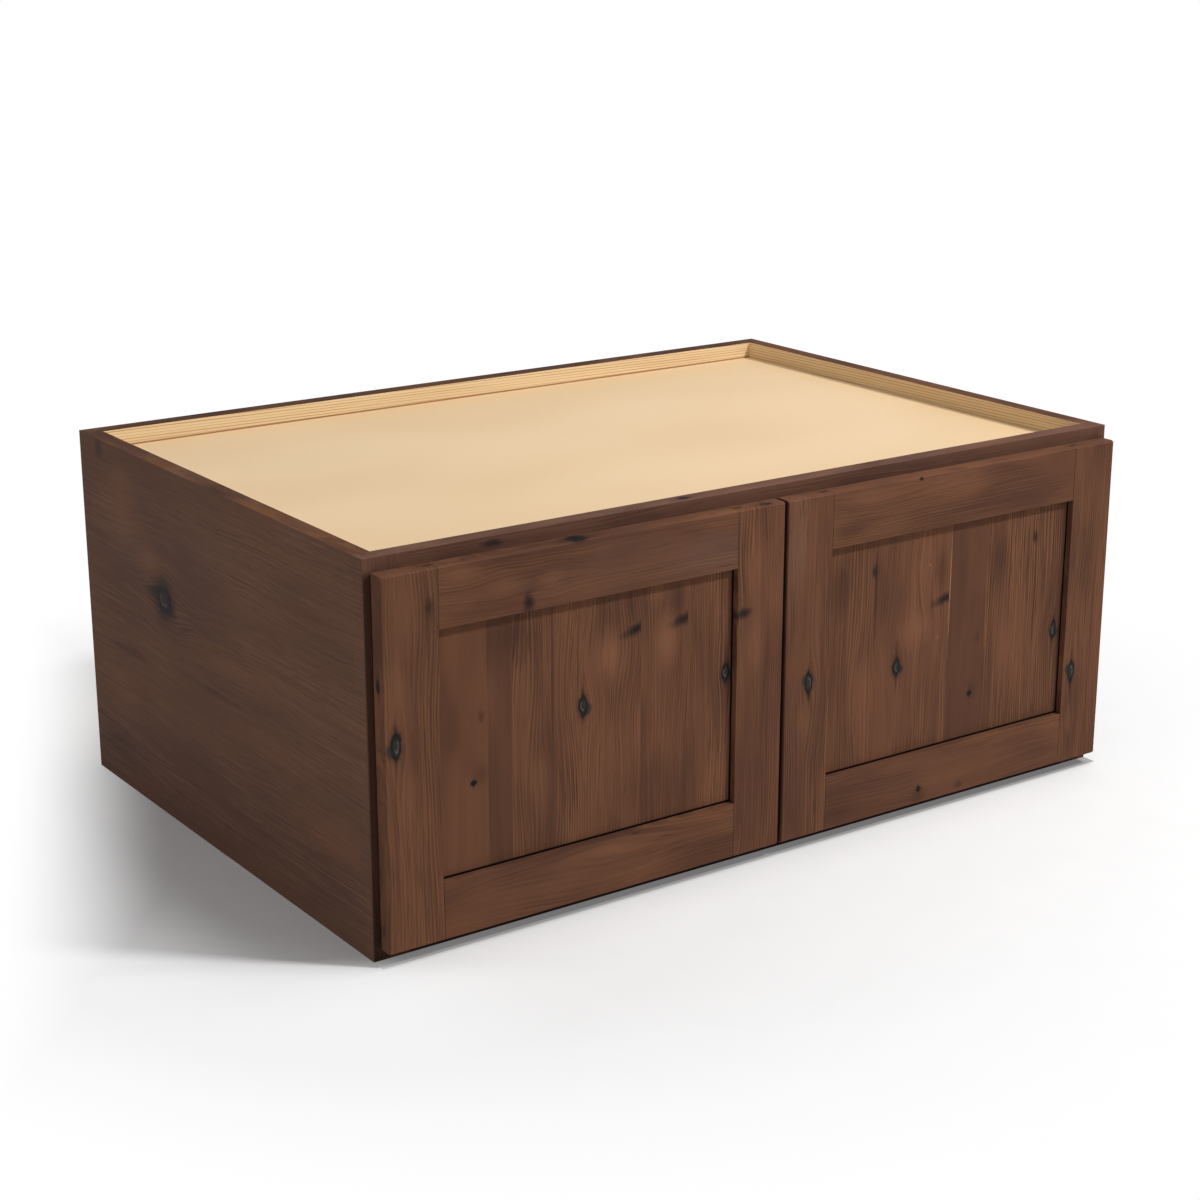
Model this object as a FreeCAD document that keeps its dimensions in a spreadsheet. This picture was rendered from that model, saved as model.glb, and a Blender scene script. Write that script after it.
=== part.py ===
import FreeCAD, Part
import Sketcher
import os
import re

# Two-door wall cabinet for the space above a refrigerator: 36 in wide, 24 in deep, 15 in high.
# Millimetres. X runs along the width, the doors face -Y, Z is up.
# The origin is at the middle of the footprint, on the plane the cabinet stands on.

doc = FreeCAD.newDocument("wall_cabinet")

# Driving sizes
SIZES = {
    # Carcass
    "cabinet_width": 914.4,
    "cabinet_depth": 609.6,
    "cabinet_height": 381.0,
    "board": 19.05,
    "recess": 19.05,
    "dado_depth": 9.525,
    "back_thickness": 6.35,
    "back_groove": 6.35,
    "rail_height": 76.2,
    # Face frame
    "stile_width": 38.1,
    "shoulder": 6.35,
    "tongue_thickness": 6.35,
    "tongue_length": 6.35,
    "frame_tenon": 19.05,
    "frame_ease": 0.8,
    # Doors
    "door_thickness": 18.0,
    "door_gap": 2.0,
    "side_reveal": 6.35,
    "end_reveal": 12.7,
    "middle_gap": 3.2,
    "member_width": 57.15,
    "panel_recess": 7.0,
    "panel_thickness": 6.35,
    "groove_depth": 9.525,
    "panel_tongue": 8.0,
    "door_ease": 1.5,
    "bumper_diameter": 10.0,
    "bumper_thickness": 1.7,
    "bumper_inset": 16.0,
    # Hinges
    "hinge_inset": 76.2,
    "cup_radius": 17.5,
    "cup_wall": 0.8,
    "cup_depth": 13.0,
    "cup_floor": 0.9,
    "cup_tab": 3.0,
    "flange_thickness": 1.0,
    "flange_shoulder": 12.0,
    "flange_half_length": 28.5,
    "flange_inner": 3.0,
    "flange_outer": 16.0,
    "flange_clip": 4.0,
    "cup_screw_half_spread": 22.5,
    "cup_screw_offset": 9.5,
    "cup_screw_hole": 4.0,
    "pin_from_edge": 6.85,
    "pin_depth": 9.6,
    "pin_diameter": 2.2,
    "pin_play": 0.05,
    "lug_inner": 4.8,
    "lug_outer": 7.8,
    "lug_front": 1.6,
    "lug_back": 2.2,
    "arm_width": 8.8,
    "arm_thickness": 1.8,
    "knuckle_radius": 2.0,
    "arm_bend": 3.0,
    "arm_end": 15.5,
    "arm_head_width": 14.0,
    "arm_head_start": 3.0,
    "arm_head_full": 6.0,
    "arm_head_clip": 2.0,
    "arm_screw_hole": 4.4,
    "base_thickness": 2.0,
    "base_half_length": 24.0,
    "base_start": 1.5,
    "base_end": 17.5,
    "base_clip": 3.5,
    "base_screw_half_spread": 17.0,
    "base_screw_hole": 4.4,
    "screw_seat": 9.5,
}

sheet = doc.addObject("Spreadsheet::Sheet", "Sizes")
for row, (alias, value) in enumerate(SIZES.items(), start=1):
    sheet.set("A%d" % row, alias)
    sheet.set("B%d" % row, str(value))
    sheet.setAlias("B%d" % row, alias)
doc.recompute()


def cells(text):
    """Point each size named in an expression at its cell."""
    return re.sub(r"[a-z_]+", lambda word: "Sizes." + word.group(0), text)


def bind(obj, prop, text):
    obj.setExpression(prop, cells(text))


def size(text):
    """Present value of an expression of sizes."""
    return sheet.evalExpression(cells(text))


# Planes that many pieces share: depths are counted back from the face frame's front
FRONT = "(door_thickness + door_gap - cabinet_depth) / 2"
TOP_OF_FLOOR = "recess + board"
UNDER_TOP = "cabinet_height - recess - board"
RAIL_FRONT = "cabinet_depth - board"
BACK_FRONT = "cabinet_depth - board - back_thickness"
HOUSED = "board - dado_depth"
HOUSED_FAR = "cabinet_width - board + dado_depth"
DOOR_WIDTH = "cabinet_width / 2 - side_reveal - middle_gap / 2"
DOOR_TOP = "cabinet_height - end_reveal"
DOOR_BACK = "-door_gap"
DOOR_FACE = "-door_gap - door_thickness"
PANEL_FACE = "-door_gap - door_thickness + panel_recess"
PANEL_BACK = "-door_gap - door_thickness + panel_recess + panel_thickness"
STILE_INNER = "side_reveal + member_width"
CUP_ACROSS = "side_reveal + cup_tab + cup_radius"
PIN_ACROSS = "side_reveal + pin_from_edge"
PIN_BACK = "-door_gap - pin_depth"

SIDES = ("left", "right")
HINGE_LEVELS = {
    "lower": "end_reveal + hinge_inset",
    "upper": "cabinet_height - end_reveal - hinge_inset",
}

nodes = []


def place(obj, side, across, back, up):
    """Put an object at a distance in from one side, back from the frame's front, and up."""
    bind(obj, "Placement.Base.x", from_side(side, across))
    bind(obj, "Placement.Base.y", "%s + (%s)" % (FRONT, back))
    bind(obj, "Placement.Base.z", up)


def from_side(side, across):
    if side == "left":
        return "-cabinet_width / 2 + (%s)" % across
    return "cabinet_width / 2 - (%s)" % across


class Piece:
    """One solid. Its own X runs in from one side of the cabinet, so both hands share a description."""

    def __init__(self, name, side="left", across="0", back="0", up="0"):
        self.side = side
        self.body = doc.addObject("PartDesign::Body", name)
        self.body.Label = name
        place(self.body, side, across, back, up)
        nodes.append(self.body)

    def inward(self, text):
        return text if self.side == "left" else "-(%s)" % text

    def sketch(self, plane, offset):
        drawing = self.body.newObject("Sketcher::SketchObject", self.body.Name + "_sketch")
        support = [feature for feature in self.body.Origin.OriginFeatures if feature.Role == plane]
        drawing.AttachmentSupport = [(support[0], "")]
        drawing.MapMode = "FlatFace"
        bind(drawing, "AttachmentOffset.Base.z", offset)
        return drawing

    def outline(self, plane, corners, offset="0"):
        """Closed outline of straight lines, every corner held by two sizes."""
        drawing = self.sketch(plane, offset)
        points = [FreeCAD.Vector(size(u), size(v)) for u, v in corners]
        for start, end in zip(points, points[1:] + points[:1]):
            drawing.addGeometry(Part.LineSegment(start, end))
        for line in range(len(points)):
            following = (line + 1) % len(points)
            drawing.addConstraint(Sketcher.Constraint("Coincident", line, 2, following, 1))
        for line, corner in enumerate(corners):
            self.hold(drawing, line, 1, corner)
        return drawing

    def circle(self, plane, centre, diameter, offset="0"):
        drawing = self.sketch(plane, offset)
        middle = FreeCAD.Vector(size(centre[0]), size(centre[1]))
        drawing.addGeometry(Part.Circle(middle, FreeCAD.Vector(0, 0, 1), size(diameter) / 2))
        self.hold(drawing, 0, 3, centre)
        number = drawing.addConstraint(Sketcher.Constraint("Diameter", 0, size(diameter)))
        bind(drawing, "Constraints[%d]" % number, diameter)
        return drawing

    def hold(self, drawing, line, end, point):
        for kind, text in zip(("DistanceX", "DistanceY"), point):
            number = drawing.addConstraint(Sketcher.Constraint(kind, -1, 1, line, end, size(text)))
            bind(drawing, "Constraints[%d]" % number, text)

    def extrude(self, kind, drawing, length, reverse):
        feature = self.body.newObject("PartDesign::" + kind, self.body.Name + "_" + kind.lower())
        feature.Profile = drawing
        bind(feature, "Length", length)
        feature.Reversed = reverse if kind == "Pad" else not reverse
        before = 0 if self.body.Shape.isNull() else self.body.Shape.Volume
        doc.recompute()
        grown = self.body.Shape.Volume - before
        if grown * (1 if kind == "Pad" else -1) <= 0:
            raise RuntimeError("%s changed nothing" % feature.Name)

    def upright(self, kind, shape, bottom, top):
        """Extrude an (across, back) shape up from one height to another."""
        self.extrude(kind, self.flat("XY_Plane", shape, bottom), "(%s) - (%s)" % (top, bottom), False)

    def crosswise(self, kind, shape, start, end):
        """Extrude a (back, up) shape in from the side."""
        offset = self.inward(start)
        length = "(%s) - (%s)" % (end, start)
        self.extrude(kind, self.flat("YZ_Plane", shape, offset), length, self.side == "right")

    def fore_and_aft(self, kind, shape, start, end):
        """Extrude an (across, up) shape towards the back."""
        offset = "-(%s)" % start
        self.extrude(kind, self.flat("XZ_Plane", shape, offset), "(%s) - (%s)" % (end, start), True)

    def flat(self, plane, shape, offset):
        """A shape is a list of corners, or a round given as (centre, diameter)."""
        if isinstance(shape, tuple):
            centre, diameter = shape
            return self.circle(plane, self.handed(plane, [centre])[0], diameter, offset)
        return self.outline(plane, self.handed(plane, shape), offset)

    def handed(self, plane, corners):
        if plane == "YZ_Plane":
            return corners
        return [(self.inward(u), v) for u, v in corners]

    def soften(self, kind, prop, amount, test):
        """Fillet or chamfer the straight edges whose two ends pass a test in the piece's own frame."""
        base = self.body.Tip
        chosen = []
        for number, edge in enumerate(base.Shape.Edges, start=1):
            if isinstance(edge.Curve, Part.Line) and all(test(vertex.Point) for vertex in edge.Vertexes):
                chosen.append("Edge%d" % number)
        feature = self.body.newObject("PartDesign::" + kind, self.body.Name + "_" + kind.lower())
        feature.Base = (base, chosen)
        bind(feature, prop, amount)
        doc.recompute()


def rectangle(u, v):
    return [(u[0], v[0]), (u[1], v[0]), (u[1], v[1]), (u[0], v[1])]


def near(value, target):
    return abs(value - target) < 1e-4


# A group keeps each of its pieces as a separate solid
def group(name, pieces):
    gathered = doc.addObject("Part::Compound", name)
    gathered.Label = name
    gathered.Links = pieces
    nodes.append(gathered)


TO_FRONT = FreeCAD.Rotation(FreeCAD.Vector(1, 0, 0), 90)
UPWARD = FreeCAD.Rotation()


def rod(name, side, across, back, up, diameter, length, turn):
    stick = doc.addObject("Part::Cylinder", name)
    stick.Placement = FreeCAD.Placement(FreeCAD.Vector(), turn)
    bind(stick, "Radius", diameter + " / 2")
    bind(stick, "Height", length)
    place(stick, side, across, back, up)
    return stick


# Side panels: dados for the top, bottom and rails, a groove for the back, a tongue into the face frame
def side_panel(side):
    panel = Piece(side + "_side_panel", side)
    tongue_end = "shoulder + tongue_thickness"
    tongue_tip = "board - tongue_length"
    plan = [("0", "board"), ("shoulder", "board"), ("shoulder", tongue_tip), (tongue_end, tongue_tip),
            (tongue_end, "board"), ("board", "board"), ("board", "cabinet_depth"), ("0", "cabinet_depth")]
    panel.upright("Pad", plan, "0", "cabinet_height")
    dado = rectangle((HOUSED, "board"), ("board", RAIL_FRONT))
    panel.upright("Pocket", dado, "recess", TOP_OF_FLOOR)
    panel.upright("Pocket", dado, UNDER_TOP, "cabinet_height - recess")
    rail_housing = rectangle((HOUSED, "board"), (RAIL_FRONT, "cabinet_depth"))
    panel.upright("Pocket", rail_housing, "0", "rail_height")
    panel.upright("Pocket", rail_housing, "cabinet_height - rail_height", "cabinet_height")
    groove = rectangle(("board - back_groove", "board"), (BACK_FRONT, RAIL_FRONT))
    panel.upright("Pocket", groove, TOP_OF_FLOOR + " - back_groove", UNDER_TOP + " + back_groove")


# Top and bottom: housed in the sides, tongued into the frame rail, rabbeted for the back panel
def flat_panel(name, bottom, inner_face):
    panel = Piece(name, up=bottom)
    tongue_bottom = "(board - tongue_thickness) / 2"
    tongue_top = "(board + tongue_thickness) / 2"
    tongue_tip = "board - tongue_length"
    front_edge = [("board", "0"), ("board", tongue_bottom), (tongue_tip, tongue_bottom),
                  (tongue_tip, tongue_top), ("board", tongue_top), ("board", "board")]
    if inner_face == "below":
        back_edge = [(RAIL_FRONT, "board"), (RAIL_FRONT, "back_groove"),
                     (BACK_FRONT, "back_groove"), (BACK_FRONT, "0")]
    else:
        back_edge = [(BACK_FRONT, "board"), (BACK_FRONT, "board - back_groove"),
                     (RAIL_FRONT, "board - back_groove"), (RAIL_FRONT, "0")]
    panel.crosswise("Pad", front_edge + back_edge, HOUSED, HOUSED_FAR)
    # The tongue stops at the stiles
    for stretch in ((HOUSED, "stile_width"), ("cabinet_width - stile_width", HOUSED_FAR)):
        panel.upright("Pocket", rectangle(stretch, (tongue_tip, "board")), "0", "board")


def back_panel():
    panel = Piece("back_panel")
    width = ("board - back_groove", "cabinet_width - board + back_groove")
    height = (TOP_OF_FLOOR + " - back_groove", UNDER_TOP + " + back_groove")
    panel.fore_and_aft("Pad", rectangle(width, height), BACK_FRONT, RAIL_FRONT)


# Hanging rails: the cabinet is screwed to the wall through these
def hanging_rail(name, bottom):
    rail = Piece(name, up=bottom)
    section = rectangle((RAIL_FRONT, "cabinet_depth"), ("0", "rail_height"))
    rail.crosswise("Pad", section, HOUSED, HOUSED_FAR)


# Face frame: rails tenoned between full-height stiles
FRAME_RAIL_LEVELS = {"bottom": "0", "top": "cabinet_height - stile_width"}
TENON_BACK = ("shoulder", "shoulder + tongue_thickness")


def frame_stile(side):
    stile = Piece("frame_%s_stile" % side, side)
    groove_end = "shoulder + tongue_thickness"
    groove_floor = "board - tongue_length"
    plan = [("frame_ease", "0"), ("stile_width", "0"), ("stile_width", "board"), (groove_end, "board"),
            (groove_end, groove_floor), ("shoulder", groove_floor), ("shoulder", "board"),
            ("0", "board"), ("0", "frame_ease")]
    stile.upright("Pad", plan, "0", "cabinet_height")
    mortise = rectangle(("stile_width - frame_tenon", "stile_width"), TENON_BACK)
    for bottom in FRAME_RAIL_LEVELS.values():
        stile.upright("Pocket", mortise, bottom + " + shoulder", bottom + " + stile_width - shoulder")


def frame_rail(kind, panel_bottom):
    bottom = FRAME_RAIL_LEVELS[kind]
    rail = Piece("frame_%s_rail" % kind, up=bottom)
    groove_bottom = "%s - (%s) + (board - tongue_thickness) / 2" % (panel_bottom, bottom)
    groove_top = groove_bottom + " + tongue_thickness"
    groove_floor = "board - tongue_length"
    section = [("0", "0"), ("board", "0"), ("board", groove_bottom), (groove_floor, groove_bottom),
               (groove_floor, groove_top), ("board", groove_top),
               ("board", "stile_width"), ("0", "stile_width")]
    rail.crosswise("Pad", section, "stile_width", "cabinet_width - stile_width")
    tenon = rectangle(TENON_BACK, ("shoulder", "stile_width - shoulder"))
    rail.crosswise("Pad", tenon, "stile_width - frame_tenon", "stile_width")
    rail.crosswise("Pad", tenon, "cabinet_width - stile_width", "cabinet_width - stile_width + frame_tenon")


# Doors: grooved stiles and rails round a flat panel, the rails' stub tenons filling the stiles' grooves
def door_stile(side, kind):
    if kind == "hinge":
        outer, step = "side_reveal", "1"
    else:
        outer, step = "side_reveal + " + DOOR_WIDTH, "-1"

    def across(distance):
        return "%s + %s * (%s)" % (outer, step, distance)

    stile = Piece("%s_door_%s_stile" % (side, kind), side, up="end_reveal")
    groove_floor = across("member_width - groove_depth")
    plan = [(across("door_ease"), DOOR_FACE), (across("member_width"), DOOR_FACE),
            (across("member_width"), PANEL_FACE), (groove_floor, PANEL_FACE), (groove_floor, PANEL_BACK),
            (across("member_width"), PANEL_BACK), (across("member_width"), DOOR_BACK),
            (across("door_ease"), DOOR_BACK), (across("0"), DOOR_BACK + " - door_ease"),
            (across("0"), DOOR_FACE + " + door_ease")]
    height = "%s - end_reveal" % DOOR_TOP
    stile.upright("Pad", plan, "0", height)
    face = size(DOOR_FACE)
    reach = size("door_ease") + 1e-3
    for end in (0, size(height)):
        stile.soften("Chamfer", "Size", "door_ease", lambda p: near(p.z, end) and p.y - face < reach)
    if kind == "hinge":
        for level in HINGE_LEVELS.values():
            bore = ((CUP_ACROSS, level + " - end_reveal"), "2 * cup_radius")
            stile.fore_and_aft("Pocket", bore, DOOR_BACK + " - cup_depth", DOOR_BACK)


def door_rail(side, kind):
    rail = Piece("%s_door_%s_rail" % (side, kind), side, up=DOOR_TOP if kind == "top" else "end_reveal")
    step = "-1" if kind == "top" else "1"

    def up(distance):
        """Height counted from the rail's outer edge towards the panel."""
        return "%s * (%s)" % (step, distance)

    groove_floor = up("member_width - groove_depth")
    section = [(DOOR_FACE + " + door_ease", up("0")), (DOOR_BACK, up("0")), (DOOR_BACK, up("member_width")),
               (PANEL_BACK, up("member_width")), (PANEL_BACK, groove_floor), (PANEL_FACE, groove_floor),
               (PANEL_FACE, up("member_width")), (DOOR_FACE, up("member_width")),
               (DOOR_FACE, up("door_ease"))]
    far = "side_reveal + %s - member_width" % DOOR_WIDTH
    rail.crosswise("Pad", section, STILE_INNER, far)
    tenon = rectangle((PANEL_FACE, PANEL_BACK), (up("0"), groove_floor))
    rail.crosswise("Pad", tenon, STILE_INNER + " - groove_depth", STILE_INNER)
    rail.crosswise("Pad", tenon, far, far + " + groove_depth")


def door_panel(side):
    panel = Piece(side + "_door_panel", side)
    width = (STILE_INNER + " - panel_tongue", "side_reveal + %s - member_width + panel_tongue" % DOOR_WIDTH)
    height = ("end_reveal + member_width - panel_tongue", DOOR_TOP + " - member_width + panel_tongue")
    panel.fore_and_aft("Pad", rectangle(width, height), PANEL_FACE, PANEL_BACK)


def door_bumpers(side):
    across = "side_reveal + %s - bumper_inset" % DOOR_WIDTH
    back = DOOR_BACK + " + bumper_thickness"
    heights = ("end_reveal + bumper_inset", DOOR_TOP + " - bumper_inset")
    group(side + "_door_bumpers", [rod("bumper", side, across, back, height, "bumper_diameter",
                                       "bumper_thickness", TO_FRONT) for height in heights])


# Hinge cup: a turned cup with a winged flange, let into the door; two lugs inside hold the pin
def hinge_cup(side, level_name):
    cup = Piece("%s_%s_hinge_cup" % (side, level_name), side, CUP_ACROSS, DOOR_BACK, HINGE_LEVELS[level_name])
    bore = "cup_radius - cup_wall"
    wall = [("0", "-cup_depth"), ("cup_radius", "-cup_depth"), ("cup_radius", "flange_thickness"),
            (bore, "flange_thickness"), (bore, "-cup_depth + cup_floor"), ("0", "-cup_depth + cup_floor")]
    turned = cup.body.newObject("PartDesign::Revolution", cup.body.Name + "_revolution")
    drawing = cup.outline("XY_Plane", wall)
    turned.Profile = drawing
    turned.ReferenceAxis = (drawing, ["V_Axis"])
    cup.body.Tip = turned
    doc.recompute()
    # Flange: trimmed to the cup on the side of the door's edge, where the frame passes close by
    end = "flange_half_length"
    clipped = "flange_half_length - flange_clip"
    wing = [("0", "-flange_shoulder"), ("flange_inner", "-(%s)" % clipped),
            ("flange_inner + flange_clip", "-" + end), ("flange_outer - flange_clip", "-" + end),
            ("flange_outer", "-(%s)" % clipped), ("flange_outer", clipped),
            ("flange_outer - flange_clip", end), ("flange_inner + flange_clip", end),
            ("flange_inner", clipped), ("0", "flange_shoulder")]
    cup.fore_and_aft("Pad", wing, "0", "flange_thickness")
    cup.fore_and_aft("Pocket", (("0", "0"), "2 * (%s)" % bore), "0", "flange_thickness")
    for step in ("-1", "1"):
        hole = (("cup_screw_offset", step + " * cup_screw_half_spread"), "cup_screw_hole")
        cup.fore_and_aft("Pocket", hole, "0", "flange_thickness")
    pin = ("pin_from_edge - cup_tab - cup_radius", "-pin_depth")
    lug = rectangle((pin[0] + " - lug_front", pin[0] + " + lug_back"),
                    ("-cup_depth + cup_floor / 2", pin[1] + " + lug_back"))
    for bottom, top in (("-lug_outer", "-lug_inner"), ("lug_inner", "lug_outer")):
        cup.upright("Pad", lug, bottom, top)
    cup.upright("Pocket", (pin, "pin_diameter"), "-lug_outer", "lug_outer")


# Hinge arm: a folded steel strip. Its knuckle turns on the pin, its neck lies along the cup's floor and
# its leg comes out of the cup past the edge of the face frame
def hinge_arm(side, level_name):
    arm = Piece("%s_%s_hinge_arm" % (side, level_name), side, PIN_ACROSS, PIN_BACK, HINGE_LEVELS[level_name])
    leg_inner = "stile_width + base_thickness - (%s)" % PIN_ACROSS
    leg_outer = leg_inner + " + arm_thickness"
    leg_end = "arm_end - (%s)" % PIN_BACK
    neck_top = "arm_thickness - knuckle_radius"
    strip = [("0", "-knuckle_radius"), (leg_outer, "-knuckle_radius"), (leg_outer, leg_end),
             (leg_inner, leg_end), (leg_inner, neck_top), ("0", neck_top)]
    half = "arm_width / 2"
    arm.upright("Pad", strip, "-" + half, half)
    sign = 1 if side == "left" else -1
    for radius, x, y in (("arm_bend", leg_inner, neck_top),
                         ("arm_bend + arm_thickness", leg_outer, "-knuckle_radius")):
        corner = FreeCAD.Vector(sign * size(x), size(y))
        arm.soften("Fillet", "Radius", radius, lambda p: near(p.x, corner.x) and near(p.y, corner.y))
    arm.upright("Pad", (("0", "0"), "2 * knuckle_radius"), "-" + half, half)
    arm.upright("Pocket", (("0", "0"), "pin_diameter + 2 * pin_play"), "-" + half, half)
    # Wider head under the fixing screw
    head_start = "arm_head_start - (%s)" % PIN_BACK
    head_full = "arm_head_full - (%s)" % PIN_BACK
    head_half = "arm_head_width / 2"
    clip_start = leg_end + " - arm_head_clip"
    head = [(head_start, "-" + half), (head_full, "-" + head_half), (clip_start, "-" + head_half),
            (leg_end, "-%s + arm_head_clip" % head_half), (leg_end, head_half + " - arm_head_clip"),
            (clip_start, head_half), (head_full, head_half), (head_start, half)]
    arm.crosswise("Pad", head, leg_inner, leg_outer)
    screw_hole = (("screw_seat - (%s)" % PIN_BACK, "0"), "arm_screw_hole")
    arm.crosswise("Pocket", screw_hole, leg_inner, leg_outer)


# Hinge base: a plate screwed to the inner edge of the face frame's stile
def hinge_base(side, level_name):
    base = Piece("%s_%s_hinge_base" % (side, level_name), side, "stile_width", "0", HINGE_LEVELS[level_name])
    end = "base_half_length"
    clipped = "base_half_length - base_clip"
    plate = [("base_start + base_clip", "-" + end), ("base_end - base_clip", "-" + end),
             ("base_end", "-(%s)" % clipped), ("base_end", clipped),
             ("base_end - base_clip", end), ("base_start + base_clip", end),
             ("base_start", clipped), ("base_start", "-(%s)" % clipped)]
    base.crosswise("Pad", plate, "0", "base_thickness")
    for step in ("-1", "1"):
        hole = (("screw_seat", step + " * base_screw_half_spread"), "base_screw_hole")
        base.crosswise("Pocket", hole, "0", "base_thickness")


def hinge_pins(side):
    group(side + "_hinge_pins", [rod("pin", side, PIN_ACROSS, PIN_BACK, level + " - lug_outer",
                                     "pin_diameter", "2 * lug_outer", UPWARD)
                                 for level in HINGE_LEVELS.values()])


# Carcass
for side in SIDES:
    side_panel(side)
flat_panel("top_panel", UNDER_TOP, "below")
flat_panel("bottom_panel", "recess", "above")
back_panel()
hanging_rail("bottom_hanging_rail", "0")
hanging_rail("top_hanging_rail", "cabinet_height - rail_height")

# Face frame
for side in SIDES:
    frame_stile(side)
frame_rail("top", UNDER_TOP)
frame_rail("bottom", "recess")

# Doors and their hinges
for side in SIDES:
    for kind in ("hinge", "lock"):
        door_stile(side, kind)
    for kind in ("top", "bottom"):
        door_rail(side, kind)
    door_panel(side)
    door_bumpers(side)
    for level_name in HINGE_LEVELS:
        hinge_cup(side, level_name)
        hinge_arm(side, level_name)
        hinge_base(side, level_name)
    hinge_pins(side)

doc.recompute()

# Every object must have built before anything is written
for obj in doc.Objects:
    if "Invalid" in obj.State or "Error" in obj.State:
        raise RuntimeError("%s did not build: %s" % (obj.Label, obj.State))
for node in nodes:
    if node.Shape.isNull() or not node.Shape.isValid():
        raise RuntimeError("%s has no valid shape" % node.Label)

os.makedirs("parts", exist_ok=True)
for node in nodes:
    node.Shape.exportStep("parts/%s.step" % node.Label)
    print(node.Label, len(node.Shape.Solids), round(node.Shape.Volume, 1))
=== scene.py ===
import math
from collections import namedtuple

import bmesh
import bpy
from mathutils import Matrix, Vector


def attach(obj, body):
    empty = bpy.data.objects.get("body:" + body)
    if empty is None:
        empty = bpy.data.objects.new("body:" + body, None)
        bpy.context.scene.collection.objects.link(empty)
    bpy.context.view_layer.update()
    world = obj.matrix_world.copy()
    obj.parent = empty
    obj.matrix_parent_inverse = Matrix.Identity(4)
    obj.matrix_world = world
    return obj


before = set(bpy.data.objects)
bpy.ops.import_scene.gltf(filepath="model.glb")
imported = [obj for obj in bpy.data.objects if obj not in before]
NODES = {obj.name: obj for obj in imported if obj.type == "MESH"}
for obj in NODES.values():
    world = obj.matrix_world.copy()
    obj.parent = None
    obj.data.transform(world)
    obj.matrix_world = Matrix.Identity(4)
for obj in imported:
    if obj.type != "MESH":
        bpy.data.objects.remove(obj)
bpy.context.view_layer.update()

MM = 0.001
PER_METRE = 1000.0
SIDES = {"left": -1.0, "right": 1.0}

# Where the camera of the photograph stands, in millimetres and degrees, and its field of view.
CAMERA_PLACE = (-1398.63, -1997.02, 937.32)
CAMERA_AZIMUTH = 35.004
CAMERA_ELEVATION = 17.034
CAMERA_LENS = 70.108
CAMERA_SENSOR = 36.0

# Main sizes that the finishes follow, in millimetres: sideways from the middle of the cabinet,
# upwards from its underside, and backwards from its middle.
OUTER_FACE = 457.2
SIDE_INNER_FACE = 438.15
CABINET_HEIGHT = 381.0
RECESS = 19.05
DOOR_TOP = 368.3
RAIL_ENDS = (58.75, 393.7)
PANEL_LEVELS = (69.85, 311.15)
HANGING_RAIL_MIDDLE = 305.0

# Where the hinge screws go, in millimetres, measured the same way; the offsets are up and down
# from the middle of the hinge.
HINGE_LEVELS = {"lower": 88.9, "upper": 292.1}
CUP_SCREW_X = 420.85
CUP_SCREW_OFFSETS = (-22.5, 22.5)
CUP_FLANGE_Y = -295.8
BASE_FACE_X = 417.1
BASE_SCREW_OFFSETS = (-17.0, 17.0)
ARM_FACE_X = 415.3
MOUNT_SCREW_Y = -285.3

# A screw's sizes in millimetres. The cross recesses are turned by angles in degrees.
Screw = namedtuple("Screw", "head_radius head_height shank_length")
CUP_SCREW = Screw(3.1, 0.55, 11.0)
BASE_SCREW = Screw(3.6, 1.5, 15.0)
ARM_SCREW = Screw(3.3, 1.3, 6.0)
SHANK_RADIUS = 1.7
SCREW_SEGMENTS = 32
FIRST_RECESS_TURN = 25.0
NEXT_RECESS_TURN = 37.0

# A mark in a board: its place along and across the grain, its half length and half width, its
# strength from 0 to 1, its tilt in degrees, the glued edge that cuts it off, for a mark that
# does not go through the board its place and half size in the third direction, and for a knot
# with a heart the way, along and across the grain, in which its side lobe lies.
Mark = namedtuple("Mark", "along across length width strength tilt cut depth reach lobe",
                  defaults=(1.0, 0.0, None, None, None, (-1.0, 1.0)))

# The marks of one board: knots, black smears beside knots, soft dark smudges, some of which are
# painted shade, glows where the stain took lightly, some of which are painted light, greyish hazes,
# and thin light scuffs.
Marks = namedtuple("Marks", "knots smears smudges glows hazes scuffs", defaults=((), (), (), (), (), ()))

# The half length and half width, in millimetres, above which a mark counts as large, and the
# half width from which a knot shows a heart.
LARGE_MARK = (15.5, 5.0)
HEARTED_KNOT = 5.0

# A strip of a glued-up panel: where it starts across the grain, how light it is from 0 to 1, and
# how strongly its streaks show.
Strip = namedtuple("Strip", "start light figure")

# The display colours of one stain, from its darkest to its lightest streaks, of the patches where it
# took lightly, also used for painted light, and of its pores, also used for painted shade.
Stain = namedtuple("Stain", "dark middle warm gold glow pore")

# A noise in the wood: its scale per millimetre along and across the grain and through the board,
# and its octaves.
Pattern = namedtuple("Pattern", "along across depth detail roughness", defaults=(2.0, 0.5))

# A band in which a finish comes in: the places, in millimetres, where it begins and where it is
# full, and how strongly it covers there.
Band = namedtuple("Band", "begins full strength", defaults=(1.0,))

# A lamp: where it stands and points, and its diameter, in metres, and its power in watts.
Lamp = namedtuple("Lamp", "place target diameter power")


def srgb(red, green, blue):
    """A display colour, 0 to 255 per channel, as the linear colour that shaders take."""
    def linear(value):
        value /= 255.0
        if value <= 0.04045:
            return value / 12.92
        return ((value + 0.055) / 1.055) ** 2.4
    return (linear(red), linear(green), linear(blue), 1.0)


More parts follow.
